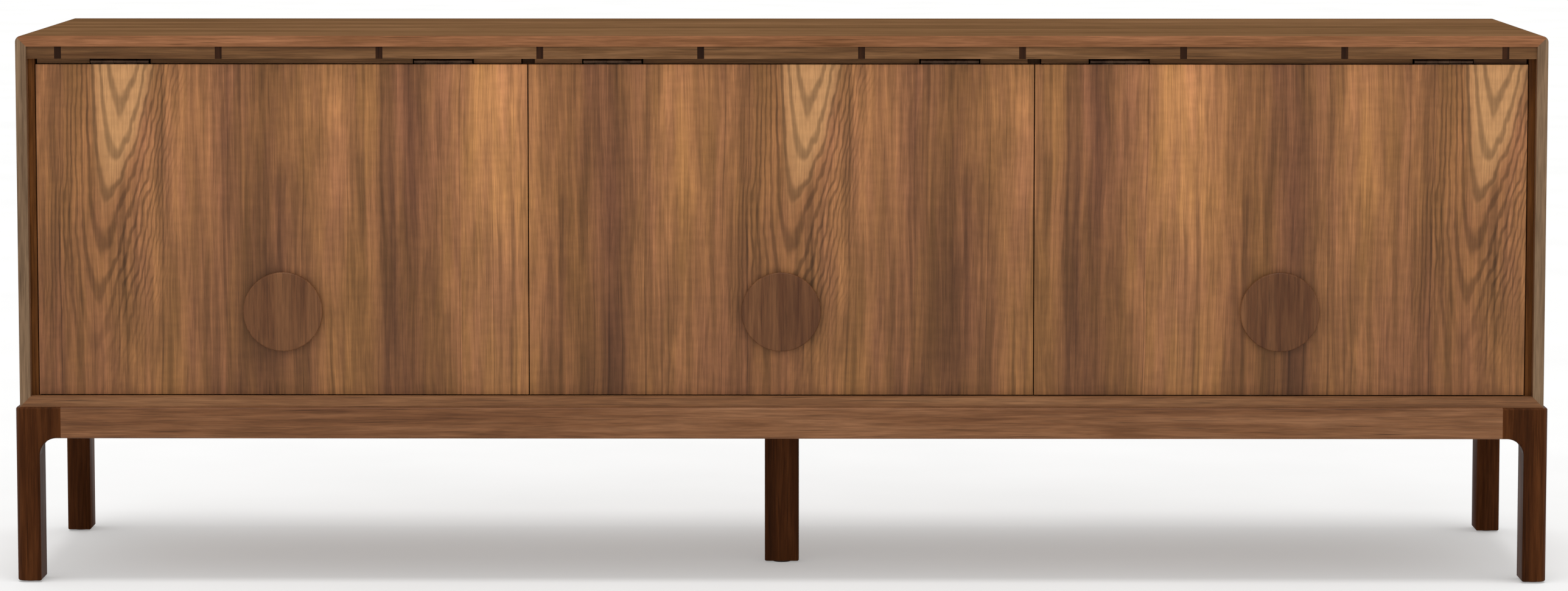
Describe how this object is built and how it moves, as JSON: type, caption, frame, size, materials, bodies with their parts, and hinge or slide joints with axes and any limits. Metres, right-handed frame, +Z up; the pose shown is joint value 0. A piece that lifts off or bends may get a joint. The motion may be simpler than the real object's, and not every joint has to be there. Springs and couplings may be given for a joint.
{
  "type": "media cabinet",
  "caption": "Long low walnut cabinet on a leg frame, with flush lift-up doors, round raised pulls, shelves and cable outlets.",
  "frame": {"origin": "on the floor, at the middle of the cabinet's footprint", "axes": "+X along the cabinet to the right seen from the front, +Y towards its back, +Z up; the doors face -Y"},
  "size_m": [2.012, 0.482, 0.72],
  "materials": {
    "walnut_carcass": "satin lacquered walnut veneer, long grain",
    "walnut_door": "satin lacquered walnut veneer, upright grain",
    "walnut_pull": "satin oiled solid walnut",
    "walnut_inside": "matt walnut veneer",
    "walnut_apron": "satin solid walnut",
    "dark_walnut": "dark stained satin walnut",
    "plain_timber": "plain unfinished hardwood",
    "bronzed_steel": "dark bronzed steel",
    "plated_steel": "nickel-plated steel",
    "screw_steel": "zinc-plated steel",
    "black_plastic": "matt black nylon",
    "felt": "dark wool felt"
  },
  "bodies": {
    "cabinet": {"top_panel": "walnut_carcass", "bottom_panel": "walnut_carcass", "side_panel_left": "walnut_carcass", "side_panel_right": "walnut_carcass", "divider_left": "walnut_inside", "divider_right": "walnut_inside", "back_panel_left": "walnut_inside", "back_panel_centre": "walnut_inside", "back_panel_right": "walnut_inside", "top_rail": "walnut_carcass", "rail_keys": "dark_walnut", "stile_left": "walnut_carcass", "stile_right": "walnut_carcass", "shelf_left": "walnut_inside", "shelf_centre": "walnut_inside", "shelf_right": "walnut_inside", "shelf_pins": "plated_steel", "cable_grommets": "black_plastic", "back_screws": "screw_steel", "carcass_dowels": "plain_timber", "cabinet_leaves": "bronzed_steel", "hinge_pins": "bronzed_steel", "cabinet_screws": "screw_steel", "stay_wall_brackets": "plated_steel", "door_bumpers": "felt", "apron_front": "walnut_apron", "apron_back": "walnut_apron", "apron_left": "walnut_apron", "apron_right": "walnut_apron", "cross_rails": "plain_timber", "leg_front_left": "dark_walnut", "leg_front_right": "dark_walnut", "leg_back_left": "dark_walnut", "leg_back_right": "dark_walnut", "leg_middle": "dark_walnut", "foot_glides": "felt", "base_cleats": "plain_timber", "base_screws": "screw_steel", "base_dowels": "plain_timber"},
    "door_left": {"door_left": "walnut_door", "pull_left": "walnut_pull", "door_screws_left": "screw_steel", "door_leaves_left": "bronzed_steel", "door_brackets_left": "plated_steel"},
    "stay_rods_left": {"stay_rods_left": "plated_steel"},
    "stay_blocks_left": {"stay_blocks_left": "black_plastic"},
    "door_centre": {"door_centre": "walnut_door", "pull_centre": "walnut_pull", "door_screws_centre": "screw_steel", "door_leaves_centre": "bronzed_steel", "door_brackets_centre": "plated_steel"},
    "stay_rods_centre": {"stay_rods_centre": "plated_steel"},
    "stay_blocks_centre": {"stay_blocks_centre": "black_plastic"},
    "door_right": {"door_right": "walnut_door", "pull_right": "walnut_pull", "door_screws_right": "screw_steel", "door_leaves_right": "bronzed_steel", "door_brackets_right": "plated_steel"},
    "stay_rods_right": {"stay_rods_right": "plated_steel"},
    "stay_blocks_right": {"stay_blocks_right": "black_plastic"}
  },
  "joints": [
    {"name": "door_left_lift", "type": "hinge", "parent": "cabinet", "child": "door_left", "pos_m": [-0.65379, -0.22, 0.686], "axis": [-1, 0, 0], "range_deg": [0, 90]},
    {"name": "stay_rods_left_turn", "type": "hinge", "parent": "door_left", "child": "stay_rods_left", "pos_m": [-0.65379, -0.193, 0.58453], "axis": [-1, 0, 0], "range_deg": [-45, 0]},
    {"name": "stay_blocks_left_turn", "type": "hinge", "parent": "cabinet", "child": "stay_blocks_left", "pos_m": [-0.65379, -0.13851, 0.61978], "axis": [-1, 0, 0], "range_deg": [0, 45]},
    {"name": "door_centre_lift", "type": "hinge", "parent": "cabinet", "child": "door_centre", "pos_m": [0, -0.22, 0.686], "axis": [-1, 0, 0], "range_deg": [0, 90]},
    {"name": "stay_rods_centre_turn", "type": "hinge", "parent": "door_centre", "child": "stay_rods_centre", "pos_m": [0, -0.193, 0.58453], "axis": [-1, 0, 0], "range_deg": [-45, 0]},
    {"name": "stay_blocks_centre_turn", "type": "hinge", "parent": "cabinet", "child": "stay_blocks_centre", "pos_m": [0, -0.13851, 0.61978], "axis": [-1, 0, 0], "range_deg": [0, 45]},
    {"name": "door_right_lift", "type": "hinge", "parent": "cabinet", "child": "door_right", "pos_m": [0.65379, -0.22, 0.686], "axis": [-1, 0, 0], "range_deg": [0, 90]},
    {"name": "stay_rods_right_turn", "type": "hinge", "parent": "door_right", "child": "stay_rods_right", "pos_m": [0.65379, -0.193, 0.58453], "axis": [-1, 0, 0], "range_deg": [-45, 0]},
    {"name": "stay_blocks_right_turn", "type": "hinge", "parent": "cabinet", "child": "stay_blocks_right", "pos_m": [0.65379, -0.13851, 0.61978], "axis": [-1, 0, 0], "range_deg": [0, 45]}
  ],
  "couplings": [
    {"joint": "stay_rods_left_turn", "follows": "door_left_lift", "ratio": -0.5},
    {"joint": "stay_blocks_left_turn", "follows": "door_left_lift", "ratio": 0.5},
    {"joint": "stay_rods_centre_turn", "follows": "door_centre_lift", "ratio": -0.5},
    {"joint": "stay_blocks_centre_turn", "follows": "door_centre_lift", "ratio": 0.5},
    {"joint": "stay_rods_right_turn", "follows": "door_right_lift", "ratio": -0.5},
    {"joint": "stay_blocks_right_turn", "follows": "door_right_lift", "ratio": 0.5}
  ]
}
